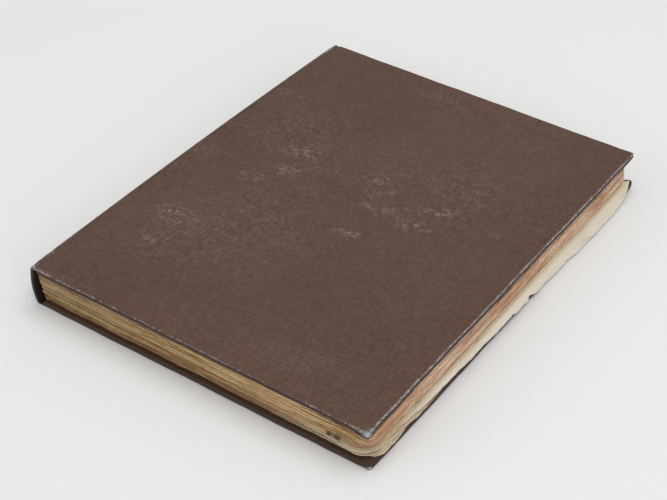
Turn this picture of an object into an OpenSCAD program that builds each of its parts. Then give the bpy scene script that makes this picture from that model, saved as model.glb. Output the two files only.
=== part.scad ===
// Case-bound scrapbook album lying closed on its back cover: two cloth-covered boards
// and a flat spine around a sewn block of heavy leaves, with one loose sheet tucked in.
// Frame: origin at the centre of the back cover's underside, +X towards the fore-edge,
// +Y along the spine, +Z up. Inside seat(), x = 0 is the outer face of the spine.

/* [Album] */
// Height of the covers, along the spine
album_h = 380; // [300:5:420]
// Width of the album, from the spine to the fore-edge
album_w = 285; // [240:5:320]
// Thickness of the closed album
album_t = 32; // [28:1:44]

/* [Case] */
// Thickness of the greyboard in the covers and the spine
board_t = 3; // [2:0.5:3]
// Thickness of the bookcloth with its glue
cloth_t = 0.5; // [0.3:0.1:0.6]
// Width of the cloth that is turned in over the boards
turn_in = 15; // [10:1:20]
// Width of the joint, from the spine's outer face to the boards
joint_w = 6; // [6:0.5:9]
// Overhang of the covers past the leaves
square_w = 4.5; // [3:0.5:6]

/* [Leaves] */
// Leaves sewn into each section of the lower and upper parts of the block
section_leaves = 5; // [4:1:6]
// Leaves sewn into each section at the top of the block
top_section_leaves = 4; // [3:1:5]
// Linen tapes that the sections are sewn on
tape_count = 4; // [3:1:5]
// Width of each tape
tape_w = 14; // [10:1:18]
// Width of the guard strips at the spine folds
guard_w = 18; // [12:1:25]

/* [Loose sheet] */
// Length of the loose sheet along the spine
sheet_h = 336; // [240:2:340]
// Distance from the loose sheet's far end to the covers' far edge
sheet_gap = 9; // [6:1:20]
// Width of the loose sheet between the leaves
sheet_w = 240; // [150:10:250]
// How far the drooping edge stands out past the leaves
lip_reach = 7.6; // [6.8:0.2:9]
// Thickness of the loose sheet with its folds
sheet_t = 0.5; // [0.3:0.1:0.5]

/* [Hidden] */
// Layers of a cover, from the outside inwards
turn_t = 0.35;
paste_t = 0.15;
cover_t = cloth_t + board_t + turn_t + paste_t;
edge_margin = 4;

// The spine stands clear of the joint cloths at its two long edges
spine_clear = 0.6;
spine_t = cloth_t + board_t + turn_t;
joint_clear = 0.3;
lining_t = 0.2;

// Layers at the back of the block: mull, then tapes and thread, then leaf folds
block_x = joint_w - 0.2;
tape_t = 0.35;
tape_gap = 0.05;
mull_t = 0.25;
tape_x = block_x - tape_gap - tape_t;
mull_x = tape_x - tape_gap - mull_t;
thread_r = 0.17;
kettle_inset = 15;

// Leaves: what the gaps leave of the block's height is shared equally
lower_sections = 2;
upper_sections = 7;
top_sections = 2;
leaf_gap = 0.08;
section_gap = 0.25;
guard_t = 0.17;
flyleaf_t = 0.2;
flyleaf_gap = 0.1;
scrap_t = 0.12;
sheet_space = 1.15;
turn_space = 0.4;
body_leaves = (lower_sections + upper_sections) * section_leaves;
leaf_count = body_leaves + top_sections * top_section_leaves;
section_count = lower_sections + upper_sections + top_sections;
all_gaps = (leaf_count - section_count) * leaf_gap
    + (section_count - 3) * section_gap
    + 2 * (flyleaf_t + 2 * flyleaf_gap) + sheet_space + turn_space;
leaf_t = (album_t - 2 * cover_t - all_gaps) / leaf_count;
leaf_w = album_w - square_w - block_x;
leaf_h = album_h - 2 * square_w;
leaf_step = leaf_t + leaf_gap;
section_step = section_leaves * leaf_step - leaf_gap + section_gap;
top_section_step = top_section_leaves * leaf_step - leaf_gap + section_gap;
uneven = 0.5;

// Heights where each part of the block starts and ends
lower_z = cover_t + flyleaf_t + 2 * flyleaf_gap;
lower_end = lower_z + lower_sections * section_step - section_gap;
upper_z = lower_end + sheet_space;
upper_end = upper_z + upper_sections * section_step - section_gap;
top_z = upper_end + turn_space;
top_end = top_z + top_sections * top_section_step - section_gap;

// Loose sheet: flat between the leaves, then a lip that droops past the lower ones
sheet_z = lower_end + 0.3;
lip_x = album_w - square_w + 0.5;
lip_z = 2.4;
lip_t = 0.6;

// Pasted scraps: [from the fold, from the near end, width, height]
lower_scraps = [[40, 40, 95, 130], [150, 70, 100, 70], [60, 210, 160, 110]];
facing_scraps = [[55, 60, 120, 90], [50, 190, 90, 130], [165, 205, 75, 100]];
upper_scraps = [[45, 50, 80, 110], [145, 60, 90, 60], [50, 200, 170, 120]];
top_scraps = [[70, 45, 130, 100], [45, 185, 85, 120], [155, 200, 85, 60]];

board_colour = "#8b8273";
cloth_colour = "#5d4b40";
lining_colour = "#8a6f4c";
leaf_colour = "#b39b73";
top_leaf_colour = "#c59b78";
paste_colour = "#c7b592";
tape_colour = "#c9bfa6";
scrap_colour = "#cfc3a4";
print_colour = "#6f6353";
sheet_colour = "#c8c3ae";

// Shared shapes

module seat() {
    translate([-album_w / 2, -album_h / 2, 0]) children();
}

module as_front() {
    translate([0, 0, album_t]) mirror([0, 0, 1]) children();
}

// Greyboard core of a cover; reach grows it towards the spine to cut the cloth open there
module board_core(reach = 0) {
    translate([joint_w - reach, cloth_t, cloth_t])
        cube([album_w - joint_w - cloth_t + reach, album_h - 2 * cloth_t, board_t]);
}

// Bookcloth wrapped round three edges of a board and turned in over its inner face
module cover_wrap() {
    difference() {
        translate([joint_w, 0, 0])
            cube([album_w - joint_w, album_h, cloth_t + board_t + turn_t]);
        board_core(1);
        translate([joint_w - 1, turn_in, cloth_t + board_t - 0.01])
            cube([album_w - joint_w - turn_in + 1, album_h - 2 * turn_in, 1]);
    }
}

// Endpaper half: fills the window between the turn-ins and overlaps them
module pastedown() {
    window_z = cloth_t + board_t;
    translate([joint_w, turn_in, window_z])
        cube([album_w - joint_w - turn_in, album_h - 2 * turn_in, turn_t + paste_t / 2]);
    translate([joint_w, edge_margin, window_z + turn_t])
        cube([album_w - joint_w - edge_margin, album_h - 2 * edge_margin, paste_t]);
}

// Strip of bookcloth between a board's edge and the spine's outer corner
module joint_strip() {
    translate([joint_clear, 0, 0]) cube([joint_w - joint_clear, album_h, cloth_t]);
}

module leaf(z, thick, inset) {
    translate([block_x, square_w, z]) cube([leaf_w - inset, leaf_h, thick]);
}

// Gathered leaves of one section; their fore-edges are a little uneven
module section(z, leaves, shift) {
    for (i = [0:leaves - 1])
        leaf(z + i * leaf_step, leaf_t, uneven * ((i + shift) % 3));
}

// Strips folded in between neighbouring sections to make up their thickness
module guard_strips(z, sections, step) {
    for (i = [1:sections - 1])
        translate([block_x, square_w, z + i * step - (section_gap + guard_t) / 2])
            cube([guard_w, leaf_h, guard_t]);
}

function tape_y(i) = album_h * (i + 1) / (tape_count + 1);

module tapes(z, end_z) {
    for (i = [0:tape_count - 1])
        translate([tape_x, tape_y(i) - tape_w / 2, z]) cube([tape_t, tape_w, end_z - z]);
}

// Thread passes beside each tape, and a kettle stitch near each end
module sewing(z, end_z) {
    beside = tape_w / 2 + 2;
    rows = [for (i = [0:tape_count - 1], side = [-1, 1]) tape_y(i) + side * beside];
    for (y = concat([kettle_inset, album_h - kettle_inset], rows))
        translate([tape_x + tape_t / 2, y, z]) cylinder(h = end_z - z, r = thread_r, $fn = 24);
}

module mull(z, end_z) {
    translate([mull_x, 2 * turn_in, z]) cube([mull_t, album_h - 4 * turn_in, end_z - z]);
}

module scraps(list, z) {
    for (s = list)
        translate([block_x + s[0], square_w + s[1], z]) cube([s[2], s[3], scrap_t]);
}

module spine_core(extra = 0) {
    translate([cloth_t, cloth_t, spine_clear - extra])
        cube([board_t, album_h - 2 * cloth_t, album_t - 2 * (spine_clear - extra)]);
}

// Back cover and the lower part of the block

module back_board() {
    color(board_colour) seat() board_core();
}

module back_cover_cloth() {
    color(cloth_colour) seat() cover_wrap();
}

module back_joint_cloth() {
    color(cloth_colour) seat() joint_strip();
}

module back_pastedown() {
    color(paste_colour) seat() pastedown();
}

module back_flyleaf() {
    color(paste_colour) seat() leaf(cover_t + flyleaf_gap, flyleaf_t, 0);
}

module lower_section(i) {
    color(leaf_colour) seat()
        section(lower_z + (i - 1) * section_step, section_leaves, i);
}

module lower_guards() {
    color(paste_colour) seat() guard_strips(lower_z, lower_sections, section_step);
}

module lower_tapes() {
    color(tape_colour) seat() tapes(lower_z, lower_end);
}

module lower_sewing() {
    color(tape_colour) seat() sewing(lower_z, lower_end);
}

module lower_mull() {
    color(tape_colour) seat() mull(lower_z, lower_end);
}

module lower_clippings() {
    color(scrap_colour) seat() scraps(lower_scraps, lower_end);
}

// Spine

module spine_board() {
    color(board_colour) seat() spine_core();
}

module spine_cloth() {
    color(cloth_colour) seat() difference() {
        translate([0, 0, spine_clear])
            cube([spine_t, album_h, album_t - 2 * spine_clear]);
        spine_core(1);
        translate([cloth_t + board_t - 0.01, turn_in, 0])
            cube([1, album_h - 2 * turn_in, album_t]);
    }
}

module spine_lining() {
    color(lining_colour) seat()
        translate([cloth_t + board_t, turn_in, 2 * spine_clear])
            cube([lining_t, album_h - 2 * turn_in, album_t - 4 * spine_clear]);
}

// Upper part of the block

module upper_section(i) {
    color(leaf_colour) seat()
        section(upper_z + (i - 1) * section_step, section_leaves, i + 1);
}

module upper_guards() {
    color(paste_colour) seat() guard_strips(upper_z, upper_sections, section_step);
}

module upper_tapes() {
    color(tape_colour) seat() tapes(upper_z, upper_end);
}

module upper_sewing() {
    color(tape_colour) seat() sewing(upper_z, upper_end);
}

module upper_mull() {
    color(tape_colour) seat() mull(upper_z, upper_end);
}

module facing_prints() {
    color(print_colour) seat() scraps(facing_scraps, upper_z - scrap_t);
}

module upper_clippings() {
    color(scrap_colour) seat() scraps(upper_scraps, upper_end);
}

// Top leaves

module top_section(i) {
    color(top_leaf_colour) seat()
        section(top_z + (i - 1) * top_section_step, top_section_leaves, i);
}

module top_guards() {
    color(paste_colour) seat() guard_strips(top_z, top_sections, top_section_step);
}

module top_tapes() {
    color(tape_colour) seat() tapes(top_z, top_end);
}

module top_sewing() {
    color(tape_colour) seat() sewing(top_z, top_end);
}

module top_mull() {
    color(tape_colour) seat() mull(top_z, top_end);
}

module top_prints() {
    color(print_colour) seat() scraps(top_scraps, top_z - scrap_t);
}

module front_flyleaf() {
    color(paste_colour) seat()
        leaf(album_t - cover_t - flyleaf_gap - flyleaf_t, flyleaf_t, 0);
}

// Front cover

module front_board() {
    color(board_colour) seat() as_front() board_core();
}

module front_cover_cloth() {
    color(cloth_colour) seat() as_front() cover_wrap();
}

module front_joint_cloth() {
    color(cloth_colour) seat() as_front() joint_strip();
}

module front_pastedown() {
    color(paste_colour) seat() as_front() pastedown();
}

// Loose sheet, tucked between the lower and upper leaves, its edge drooping outside

module loose_sheet() {
    profile = [
        [lip_x - sheet_w, sheet_z], [lip_x, sheet_z],
        [lip_x + lip_reach - lip_t, lip_z], [lip_x + lip_reach, lip_z],
        [lip_x + lip_t, sheet_z + sheet_t], [lip_x - sheet_w, sheet_z + sheet_t]
    ];
    color(sheet_colour) seat()
        translate([0, album_h - sheet_gap, 0])
            rotate([90, 0, 0]) linear_extrude(height = sheet_h) polygon(profile);
}

back_board();
back_cover_cloth();
back_joint_cloth();
back_pastedown();
back_flyleaf();
lower_section(1);  // lower_section_1
lower_section(2);  // lower_section_2
lower_guards();
lower_tapes();
lower_sewing();
lower_mull();
lower_clippings();
spine_board();
spine_cloth();
spine_lining();
upper_section(1);  // upper_section_1
upper_section(2);  // upper_section_2
upper_section(3);  // upper_section_3
upper_section(4);  // upper_section_4
upper_section(5);  // upper_section_5
upper_section(6);  // upper_section_6
upper_section(7);  // upper_section_7
upper_guards();
upper_tapes();
upper_sewing();
upper_mull();
facing_prints();
upper_clippings();
top_section(1);  // top_section_1
top_section(2);  // top_section_2
top_guards();
top_tapes();
top_sewing();
top_mull();
top_prints();
front_flyleaf();
front_board();
front_cover_cloth();
front_joint_cloth();
front_pastedown();
loose_sheet();
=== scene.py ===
import math
from collections import namedtuple

import bmesh
import bpy
import numpy as np
from mathutils import Matrix, Vector


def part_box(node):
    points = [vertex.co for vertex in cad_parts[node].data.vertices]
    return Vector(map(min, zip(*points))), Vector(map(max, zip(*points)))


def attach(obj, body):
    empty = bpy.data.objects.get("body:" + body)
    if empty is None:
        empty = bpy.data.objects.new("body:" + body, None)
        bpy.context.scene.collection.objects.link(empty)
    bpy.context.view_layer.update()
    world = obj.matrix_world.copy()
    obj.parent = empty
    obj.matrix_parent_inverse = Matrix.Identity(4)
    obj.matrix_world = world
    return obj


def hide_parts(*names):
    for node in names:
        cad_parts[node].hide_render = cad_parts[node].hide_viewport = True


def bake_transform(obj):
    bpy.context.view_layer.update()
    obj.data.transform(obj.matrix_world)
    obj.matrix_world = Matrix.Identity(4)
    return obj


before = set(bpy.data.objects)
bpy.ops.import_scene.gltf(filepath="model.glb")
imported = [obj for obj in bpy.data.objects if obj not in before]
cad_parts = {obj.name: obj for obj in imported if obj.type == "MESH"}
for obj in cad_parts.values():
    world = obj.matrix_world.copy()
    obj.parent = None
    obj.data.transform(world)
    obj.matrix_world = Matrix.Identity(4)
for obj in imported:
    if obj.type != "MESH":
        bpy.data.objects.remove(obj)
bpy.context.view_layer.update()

# ---- sizes from the frame
# Meshes are worked out in album millimetres: x from the spine's outer face, y from the
# near end of the covers, z up from the surface that the album lies on.

MM = 0.001
ORIGIN = np.array((*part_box("spine_cloth")[0][:2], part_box("back_cover_cloth")[0][2]))


def album_box(node):
    """Lowest and highest corner of a CAD node, in album millimetres."""
    low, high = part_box(node)
    return (np.array(low) - ORIGIN) / MM, (np.array(high) - ORIGIN) / MM


WIDTH, HEIGHT, _ = album_box("back_cover_cloth")[1]
THICK = album_box("front_cover_cloth")[1][2]
SHELL = THICK - album_box("front_cover_cloth")[0][2]
BOARD_X = album_box("back_cover_cloth")[0][0]
SPINE_T = album_box("spine_cloth")[1][0]
BLOCK_X, SQUARE, LOWER_BASE = album_box("lower_section_1")[0]
LEAF_X, LEAF_END, _ = album_box("back_flyleaf")[1]
CLOTH_T = 0.5

# The closed album has slumped: its front cover lies this far behind its back cover, and
# the front cover's spine edge rises this much at mid length
SLUMP = 3.1
ARCH = 1.9


def metres(x, z):
    """A point of the near end in album millimetres, leaning as the album does, in metres."""
    leaning = (x + SLUMP * (0.5 - z / THICK), 0, z)
    return tuple(float(c) for c in ORIGIN + np.array(leaning) * MM)


# ---- random lines

def ripple(seed, *waves):
    """A smooth wandering line: each wave is (length, height) in millimetres."""
    turns = np.random.default_rng(seed).uniform(0, 2 * math.pi, len(waves))

    def line(s):
        return sum(
            height * np.sin(2 * math.pi * s / length + turn)
            for (length, height), turn in zip(waves, turns)
        )

    return line


def torn(seed, step, depth, power):
    """A torn line from 0 to depth, with a new random depth every step millimetres. A
    higher power leaves more of it near 0."""
    values = np.random.default_rng(seed).uniform(0, 1, 400) ** power * depth
    return lambda s: np.interp(s, np.arange(400) * step - 20, values)


def bump(d, reach):
    """1 at distance 0 and below, falling smoothly to 0 at reach."""
    t = np.clip(1 - np.asarray(d) / reach, 0, 1)
    return t * t * (3 - 2 * t)


def rounding(d, radius):
    """How far a rounded arris has fallen away at distance d from the edge."""
    return radius - np.sqrt(radius ** 2 - np.clip(radius - d, 0, radius) ** 2)


def from_end(y):
    """Distance from the nearer end of the covers."""
    return np.minimum(y, HEIGHT - y)


def from_edge(x, y):
    """Distance from a cover's nearest open edge."""
    return np.minimum(from_end(y), WIDTH - x)


def mid_arch(y):
    """Rise of the album's spine edge, highest at mid length."""
    return ARCH * np.sin(math.pi * np.clip(y / HEIGHT, 0, 1))


# ---- mesh makers

def new_object(name, data):
    added = bpy.data.objects.new(name, data)
    bpy.context.scene.collection.objects.link(added)
    return added


def make(name, points, faces, material, marks=None, sharp=50):
    """A mesh object from album millimetres. marks are per-vertex numbers for the shaders."""
    points = np.array(points, float)
    points[:, 0] += SLUMP * (0.5 - points[:, 2] / THICK)
    mesh = bpy.data.meshes.new(name)
    mesh.from_pydata((ORIGIN + points * MM).tolist(), [], faces)
    work = bmesh.new()
    work.from_mesh(mesh)
    bmesh.ops.recalc_face_normals(work, faces=work.faces)
    work.to_mesh(mesh)
    work.free()
    rest = mesh.attributes.new("rest", "FLOAT_VECTOR", "POINT")
    rest.data.foreach_set("vector", (points * MM).astype(np.float32).ravel())
    for key, values in (marks or {}).items():
        mark = mesh.attributes.new(key, "FLOAT", "POINT")
        mark.data.foreach_set("value", np.full(len(points), values, np.float32))
    mesh.shade_smooth()
    mesh.set_sharp_from_angle(angle=math.radians(sharp))
    mesh.materials.append(material)
    return new_object(name, mesh)


def place(piece, body, slot, *nodes):
    """The piece rides on a body and stands for CAD nodes; its slot is not used."""
    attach(piece, body)
    if nodes:
        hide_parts(*nodes)
    return piece


def stops(low, high, pitch, near=(), far=()):
    """Lattice lines from low to high, with extra ones at small distances from the ends."""
    count = max(2, round((high - low) / pitch))
    inner = np.linspace(low, high, count + 1)
    first = low + np.array(near, float)
    last = high - np.array(far, float)
    floor_at = first.max() + pitch * 0.4 if len(first) else low
    top_at = last.min() - pitch * 0.4 if len(last) else high
    inner = inner[(inner > floor_at) & (inner < top_at)]
    return np.unique(np.round(np.concatenate([[low], first, inner, last, [high]]), 4))


def walls(rings):
    """Faces that join closed rings of point numbers, each ring to the next."""
    faces = []
    for lower, upper in zip(rings, rings[1:]):
        for k in range(len(lower)):
            n = (k + 1) % len(lower)
            faces.append((int(lower[k]), int(lower[n]), int(upper[n]), int(upper[k])))
    return faces


def lattice(xs, ys, shape, rows=()):
    """A closed slab on the lattice xs by ys. shape(x, y, t) gives its points in album
    millimetres, with t 0 on the underside, 1 on the upper side and rows between them
    down the side walls. Returns the points, the faces and every point's x, y and t."""
    nx, ny = len(xs), len(ys)
    gx, gy = (g.ravel() for g in np.meshgrid(xs, ys, indexing="ij"))
    grid = np.arange(nx * ny).reshape(nx, ny)
    edge = np.concatenate([grid[:, 0], grid[-1, 1:], grid[-2::-1, -1], grid[0, -2:0:-1]])
    places = [(gx, gy, 0.0), (gx, gy, 1.0)] + [(gx[edge], gy[edge], t) for t in rows]
    points = np.concatenate([shape(x, y, t) for x, y, t in places])
    plan = np.concatenate([np.stack([x, y, np.full_like(x, t)]) for x, y, t in places], 1)
    size = nx * ny
    rings = [edge]
    rings += [2 * size + k * len(edge) + np.arange(len(edge)) for k in range(len(rows))]
    rings.append(size + edge)
    faces = []
    for i in range(nx - 1):
        for j in range(ny - 1):
            a = i * ny + j
            quad = (a, a + ny, a + ny + 1, a + 1)
            faces.append(quad[::-1])
            faces.append(tuple(size + v for v in quad))
    return points, faces + walls(rings), plan


def ribbon(path, thick, y_low, y_high, pitch):
    """A thin strip: a cross-section path of (x, z) points run along y, with a thickness."""
    path = np.array(path, float)
    along = np.gradient(path, axis=0)
    along /= np.linalg.norm(along, axis=1)[:, None]
    side = np.stack([-along[:, 1], along[:, 0]], 1) * thick / 2
    loop = np.concatenate([path + side, (path - side)[::-1]])
    count = max(2, round((y_high - y_low) / pitch)) + 1
    ys = np.linspace(y_low, y_high, count)
    size = len(loop)
    points = [(x, y, z) for y in ys for x, z in loop]
    faces = walls([range(r * size, (r + 1) * size) for r in range(count)])
    for base in (0, (count - 1) * size):
        faces += [
            (base + k, base + k + 1, base + size - 2 - k, base + size - 1 - k)
            for k in range(size // 2 - 1)
        ]
    return np.array(points), faces


def join(parts):
    """Several meshes, each as points, faces and marks, made one."""
    faces, base = [], 0
    for points, quads, _ in parts:
        faces += [tuple(v + base for v in face) for face in quads]
        base += len(points)
    marks = {key: np.concatenate([part[2][key] for part in parts]) for key in parts[0][2]}
    return np.concatenate([part[0] for part in parts]), faces, marks


def arc(x, z, radius, first, last, count):
    """Points (x, z) on a circle, from one angle to another in degrees."""
    turns = np.radians(np.linspace(first, last, count))
    return [(x + radius * math.cos(t), z + radius * math.sin(t)) for t in turns]


# ---- shader graphs

def srgb(red, green, blue):
    """A colour of a screen, 0 to 255, as light."""
    return tuple(
        c / 12.92 if c <= 0.04045 else ((c + 0.055) / 1.055) ** 2.4
        for c in (red / 255, green / 255, blue / 255)
    )


class Graph:
    """A material's node graph, with short names for its nodes."""

    def __init__(self, name, roughness, specular):
        self.material = bpy.data.materials.new(name)
        self.material.use_nodes = True
        self.tree = self.material.node_tree
        self.bsdf = self.tree.nodes["Principled BSDF"]
        self.bsdf.inputs["Roughness"].default_value = roughness
        self.bsdf.inputs["Specular IOR Level"].default_value = specular

    def node(self, kind, inputs=(), **settings):
        made = self.tree.nodes.new("ShaderNode" + kind)
        for key, value in settings.items():
            setattr(made, key, value)
        for key, value in dict(inputs).items():
            if isinstance(value, bpy.types.NodeSocket):
                self.tree.links.new(value, made.inputs[key])
            else:
                made.inputs[key].default_value = value
        return made

    def mark(self, name):
        return self.node("Attribute", attribute_name=name).outputs["Fac"]

    def rest(self, scale=(1, 1, 1)):
        where = self.node("Attribute", attribute_name="rest").outputs["Vector"]
        return self.node("VectorMath", {0: where, 1: scale}, operation="MULTIPLY").outputs[0]

    def noise(self, scale, detail, rough, stretch=(1, 1, 1)):
        inputs = {
            "Vector": self.rest(stretch), "Scale": scale, "Detail": detail, "Roughness": rough
        }
        return self.node("TexNoise", inputs).outputs["Fac"]

    def math(self, operation, a, b=0.0, clamp=False):
        made = self.node("Math", {0: a, 1: b}, operation=operation, use_clamp=clamp)
        return made.outputs[0]

    def times(self, a, b, clamp=False):
        return self.math("MULTIPLY", a, b, clamp)

    def plus(self, a, b):
        return self.math("ADD", a, b)

    def ramp(self, value, low, high, to_low=0.0, to_high=1.0):
        inputs = {
            "Value": value, "From Min": low, "From Max": high, "To Min": to_low, "To Max": to_high
        }
        return self.node("MapRange", inputs, interpolation_type="SMOOTHSTEP").outputs[0]

    def mix(self, factor, a, b):
        made = self.node("Mix", data_type="RGBA")
        for socket, value in ((0, factor), (6, a), (7, b)):
            if isinstance(value, bpy.types.NodeSocket):
                self.tree.links.new(value, made.inputs[socket])
            else:
                made.inputs[socket].default_value = (*srgb(*value), 1)
        return made.outputs[2]

    def tint(self, colour, value, low, high, share, over):
        """Lays a second colour over the first, by that share where value passes high."""
        return self.mix(self.ramp(value, low, high, 0.0, share), colour, over)

    def finish(self, colour, height, distance, roughness=None, strength=1.0):
        inputs = {"Height": height, "Distance": distance * MM, "Strength": strength}
        self.tree.links.new(self.node("Bump", inputs).outputs[0], self.bsdf.inputs["Normal"])
        self.tree.links.new(colour, self.bsdf.inputs["Base Color"])
        if roughness is not None:
            self.tree.links.new(roughness, self.bsdf.inputs["Roughness"])
        return self.material


def weave(graph, pitch):
    """Height of a plain weave with threads at that pitch in millimetres, 0 to 1."""
    at = graph.node("SeparateXYZ", {0: graph.rest((2 * math.pi / (pitch * MM),) * 3)})
    sines = [graph.math("SINE", at.outputs[k]) for k in range(3)]
    flat = graph.times(sines[0], sines[1])
    upright = graph.times(sines[2], graph.plus(sines[0], sines[1]))
    both = graph.plus(flat, graph.times(upright, 0.5))
    return graph.math("MULTIPLY_ADD", both, 0.5)


def bookcloth():
    """Brown linen bookcloth: weave with uneven threads, rubbed to pale thread where it
    is scuffed, and to blue-grey along its edges."""
    g = Graph("bookcloth", 0.62, specular=0.22)
    cross = weave(g, 0.62)
    warp = g.noise(1300, 2, 0.6, (0.11, 1, 1))
    weft = g.noise(1300, 2, 0.6, (1, 0.11, 1))
    threads = g.plus(warp, weft)
    cloudy = g.noise(9, 4, 0.6)
    grime = g.noise(60, 5, 0.65)
    base = g.mix(g.ramp(cloudy, 0.35, 0.65), (82, 61, 49), (88, 66, 54))
    base = g.tint(base, threads, 0.95, 1.25, 0.42, (114, 92, 78))
    base = g.tint(base, threads, 0.98, 0.72, 0.42, (46, 32, 25))
    base = g.tint(base, cross, 0.1, 0.9, 0.28, (106, 84, 70))
    base = g.tint(base, grime, 0.56, 0.75, 0.25, (72, 58, 52))
    ruddy = g.times(g.mark("rub"), g.ramp(grime, 0.45, 0.6))
    base = g.mix(g.times(ruddy, 0.25), base, (104, 58, 44))
    base = g.mix(g.mark("shade"), base, (26, 20, 18))

    fine = g.noise(900, 3, 0.7)
    patchy = g.noise(230, 4, 0.72)
    strokes = g.math("MAXIMUM", g.ramp(warp, 0.5, 0.68), g.ramp(weft, 0.5, 0.68))
    haze = g.times(g.mark("scuff"), g.ramp(patchy, 0.4, 0.62))
    rubbed = g.times(haze, g.times(strokes, g.ramp(fine, 0.35, 0.6)))
    base = g.mix(g.times(haze, 0.22, True), base, (134, 118, 106))
    base = g.mix(g.times(rubbed, 1.05, True), base, (176, 165, 153))

    grain = g.noise(2600, 1, 0.5)
    specks = g.times(g.ramp(grain, 0.74, 0.8), g.ramp(patchy, 0.5, 0.62, 0.0, 0.6))
    base = g.mix(specks, base, (160, 150, 140))

    breaks = g.times(g.math("SUBTRACT", g.noise(85, 3, 0.6), 0.5), 0.8)
    nibbled = g.times(g.math("SUBTRACT", g.noise(1000, 3, 0.7), 0.5), 2.6)
    worn = g.plus(g.mark("wear"), g.plus(breaks, nibbled))
    worn = g.times(g.ramp(worn, 0.5, 0.8), g.ramp(g.mark("wear"), 0.03, 0.2))
    blotches = g.ramp(g.noise(420, 3, 0.7), 0.35, 0.65)
    pale = g.mix(blotches, (112, 106, 102), (184, 181, 182))
    pale = g.mix(g.ramp(g.mark("wear"), 0.8, 1.1), pale, (170, 186, 196))
    base = g.mix(g.times(worn, 0.85), base, pale)

    height = g.plus(g.times(cross, 0.6), g.times(threads, 0.55))
    height = g.plus(height, g.times(grime, 0.4))
    height = g.plus(height, g.times(worn, 0.7))
    rough = g.ramp(g.plus(grime, rubbed), 0.3, 0.9, 0.58, 0.76)
    return g.finish(base, height, 0.12, rough, 0.75)


def leaf_paper():
    """Album leaves: toned edges with fine streaks from leaf to leaf, orange-brown where
    mark warm says so, and lighter foxed pages inside."""
    g = Graph("leaf_paper", 0.85, specular=0.2)
    streak = g.noise(1000, 3, 0.6, (0.012, 0.012, 3.2))
    short = g.noise(1000, 3, 0.6, (0.06, 0.06, 2.0))
    cloudy = g.noise(22, 4, 0.6)
    fibre = g.noise(1400, 3, 0.6)
    tone = g.plus(g.times(g.mark("tone"), 0.65), g.times(streak, 0.35))
    tan = g.mix(g.ramp(tone, 0.25, 0.75), (158, 122, 78), (230, 200, 152))
    tan = g.tint(tan, cloudy, 0.45, 0.7, 0.2, (206, 188, 134))
    warm = g.mix(g.ramp(tone, 0.3, 0.7), (206, 160, 130), (250, 226, 200))
    edge = g.mix(g.mark("warm"), tan, warm)
    edge = g.mix(g.mark("pale"), edge, (240, 225, 200))
    edge = g.tint(edge, short, 0.42, 0.28, 0.6, (112, 82, 52))
    edge = g.tint(edge, short, 0.6, 0.75, 0.5, (236, 216, 178))
    # Mark shade darkens the leaf edges: painted shade where leaves lie further in, painted shade
    # and grime along the near end, and black in the notches.
    edge = g.mix(g.mark("shade"), edge, (60, 42, 26))

    spots = g.ramp(g.noise(240, 2, 0.5), 0.68, 0.76, 0.0, 0.35)
    page = g.mix(g.ramp(cloudy, 0.3, 0.75), (201, 181, 140), (184, 160, 116))
    page = g.mix(spots, page, (140, 98, 56))
    page = g.tint(page, fibre, 0.55, 0.8, 0.2, (224, 208, 172))
    colour = g.mix(g.mark("edge"), page, edge)
    lines = g.times(g.plus(streak, short), g.mark("edge"))
    height = g.plus(g.times(fibre, 0.35), g.times(lines, 1.4))
    return g.finish(colour, height, 0.16, g.ramp(fibre, 0.3, 0.7, 0.78, 0.92))


def plain_paper(name, light, dark, stain_and_shade, crease=0.0):
    """Old paper: fibres, cloudy toning, foxing, and optional soft creases."""
    g = Graph(name, 0.85, specular=0.2)
    cloudy = g.noise(14, 5, 0.6)
    fibre = g.noise(1100, 4, 0.6)
    mottled = g.noise(70, 4, 0.65)
    spots = g.ramp(g.noise(210, 2, 0.5), 0.67, 0.75, 0.0, 0.4)
    colour = g.mix(g.ramp(cloudy, 0.32, 0.7), light, dark)
    colour = g.tint(colour, mottled, 0.5, 0.8, 0.4, dark)
    colour = g.mix(spots, colour, stain_and_shade)
    # Mark shade darkens the paper towards the stain colour: painted shade on the linings, guards
    # and loose sheet, darker edges on the endpapers, and each clipping's own tone.
    colour = g.mix(g.mark("shade"), colour, stain_and_shade)
    folds = g.noise(38, 2, 0.4, (1, 0.35, 1))
    height = g.plus(g.times(fibre, 0.3), g.times(folds, crease))
    height = g.plus(height, g.times(mottled, 0.4))
    return g.finish(colour, height, 0.2, g.ramp(fibre, 0.3, 0.7, 0.76, 0.9))


def print_paper():
    """A toned photograph: a soft scene of light and dark in a pale border."""
    g = Graph("print_paper", 0.5, specular=0.4)
    scene_tone = g.noise(26, 3, 0.5, (0.6, 1.6, 1))
    soft = g.noise(60, 4, 0.6)
    tone = g.plus(g.times(scene_tone, 0.75), g.times(soft, 0.25))
    picture = g.mix(g.ramp(tone, 0.32, 0.66), (62, 48, 36), (186, 168, 136))
    colour = g.mix(g.mark("border"), picture, (214, 202, 174))
    spots = g.ramp(g.noise(230, 2, 0.5), 0.68, 0.74, 0.0, 0.4)
    colour = g.mix(spots, colour, (134, 96, 58))
    return g.finish(colour, g.noise(700, 3, 0.6), 0.05, g.ramp(soft, 0.3, 0.7, 0.42, 0.6))


def woven(name, thread_colour, gap_colour, pitch):
    """Open linen or gauze: pale threads over a darker ground."""
    g = Graph(name, 0.9, specular=0.15)
    cross = weave(g, pitch)
    uneven = g.noise(300, 4, 0.6)
    colour = g.mix(g.ramp(cross, 0.3, 0.6), gap_colour, thread_colour)
    colour = g.tint(colour, uneven, 0.5, 0.75, 0.4, gap_colour)
    return g.finish(colour, g.plus(cross, uneven), 0.2)


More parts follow.
